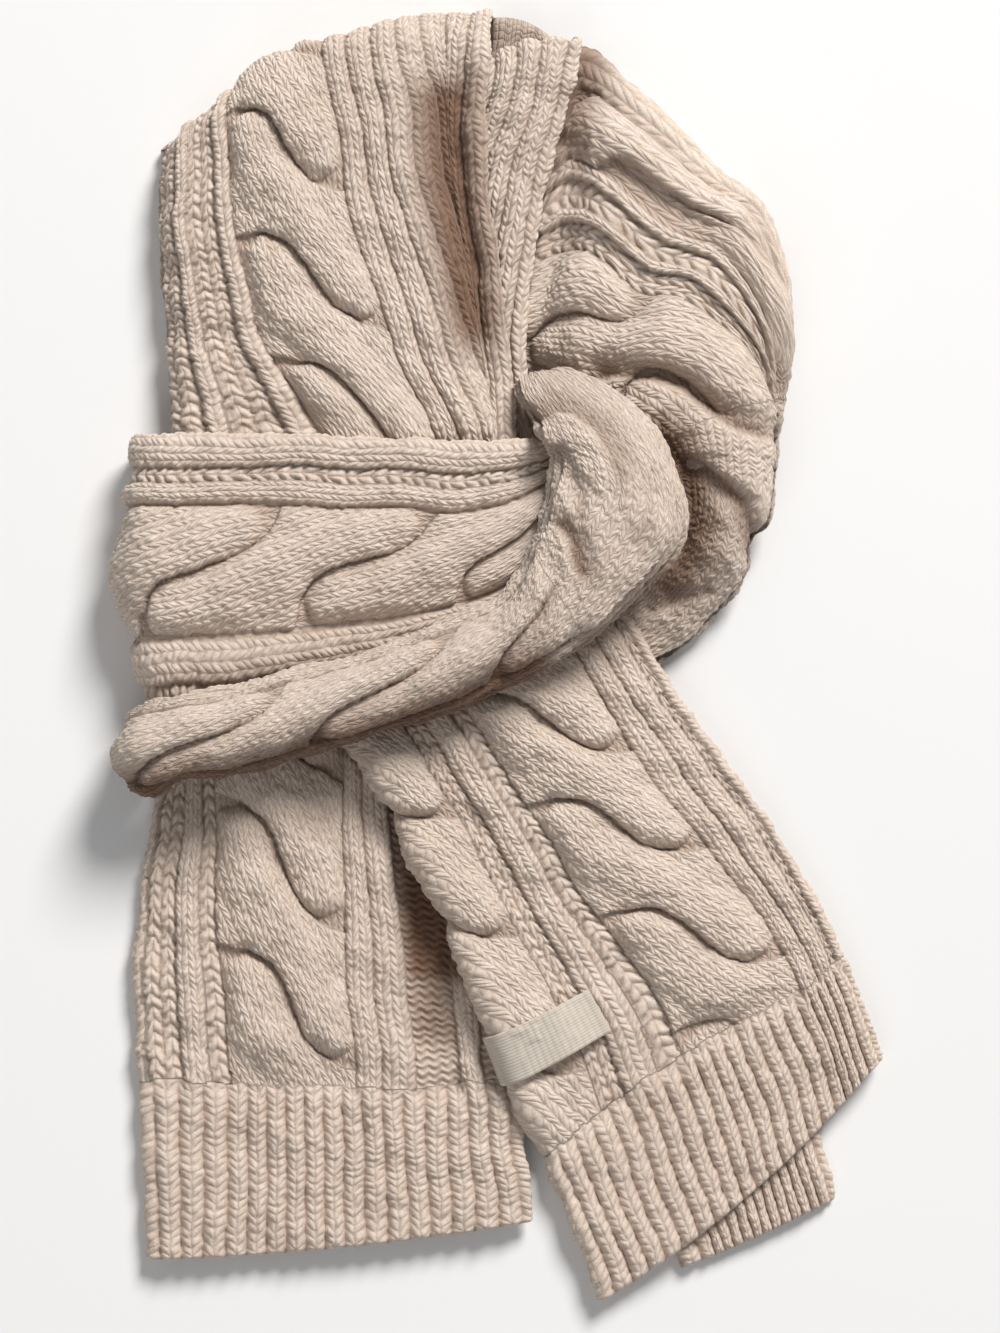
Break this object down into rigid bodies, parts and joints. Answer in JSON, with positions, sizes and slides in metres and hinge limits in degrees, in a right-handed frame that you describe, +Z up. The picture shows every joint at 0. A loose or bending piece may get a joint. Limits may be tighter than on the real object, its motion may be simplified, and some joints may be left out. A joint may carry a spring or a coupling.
{
  "type": "knit scarf",
  "caption": "Chunky cable-knit wool scarf, folded lengthwise, wound once into a neck loop with a rolled wrap band, laid flat with its two ribbed tails down.",
  "frame": {"origin": "on the table under the middle of the laid scarf", "axes": "+Z up from the table, +Y from the tails to the back of the neck loop, +X to the right as seen from above with +Y away"},
  "size_m": [0.3434, 0.584, 0.0573],
  "materials": {
    "wool": "chunky oatmeal wool knit, soft and matt with a light fuzz",
    "wool_inner": "the same wool knit in the covered layers",
    "label_tape": "bare woven cream tape"
  },
  "bodies": {
    "root": {"tail_left": "wool", "hem_left": "wool", "tail_right": "wool", "hem_right": "wool", "tail_under": "wool", "neck_left": "wool", "neck_lip": "wool", "neck_back": "wool", "neck_right": "wool", "wrap_band": "wool", "wrap_roll": "wool", "hidden_layers": "wool_inner", "label": "label_tape"}
  },
  "joints": []
}
